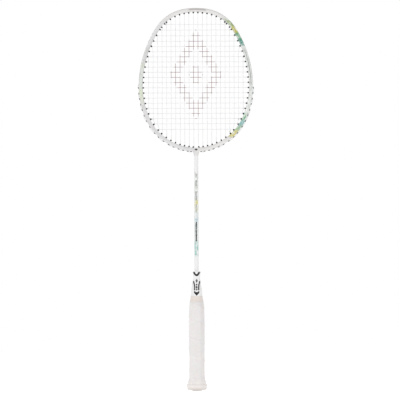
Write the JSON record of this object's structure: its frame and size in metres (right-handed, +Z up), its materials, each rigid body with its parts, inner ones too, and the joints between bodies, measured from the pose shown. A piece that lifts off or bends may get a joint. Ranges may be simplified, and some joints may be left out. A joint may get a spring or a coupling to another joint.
{
  "type": "badminton racket",
  "caption": "Strung badminton racket with an oval hoop, slim round shaft, tapered cap and wrapped eight-sided grip.",
  "frame": {"origin": "middle of the butt's lowest face", "axes": "+Z up the handle to the crown of the head, string bed in the XZ plane, +Y away from the side seen in the picture"},
  "size_m": [0.2049, 0.0324, 0.675],
  "materials": {
    "frame_paint": "gloss lacquer over carbon laminate, marbled grey with green, yellow and teal fades",
    "laminate_raw": "bare bonded carbon laminate",
    "shaft_paint": "gloss lacquer over carbon laminate, with pale bands",
    "cone_plastic": "moulded white plastic with printed black bars",
    "finishing_tape": "translucent beige tape",
    "core_wood": "light sawn wood, unvarnished",
    "grip_pu": "embossed white polyurethane wrap, satin",
    "staple_steel": "bright wire",
    "butt_plastic": "moulded off-white plastic with a pale rose rim",
    "badge_plastic": "moulded plastic disc with a plain ring",
    "grommet_nylon": "moulded dark nylon",
    "string_nylon": "braided nylon string, white, with a painted rose stencil"
  },
  "bodies": {
    "root": {"frame": "frame_paint", "t_joint": "laminate_raw", "shaft": "shaft_paint", "cone_cap": "cone_plastic", "finishing_tape": "finishing_tape", "handle_core": "core_wood", "grip_wrap": "grip_pu", "grip_staple": "staple_steel", "butt_cap": "butt_plastic", "butt_badge": "badge_plastic", "grommets_crown": "grommet_nylon", "grommets_shoulder_left": "grommet_nylon", "grommets_shoulder_right": "grommet_nylon", "grommets_side_left": "grommet_nylon", "grommets_side_right": "grommet_nylon", "grommets_lower_left": "grommet_nylon", "grommets_lower_right": "grommet_nylon", "grommets_throat": "grommet_nylon", "main_string": "string_nylon", "cross_string": "string_nylon"}
  },
  "joints": []
}
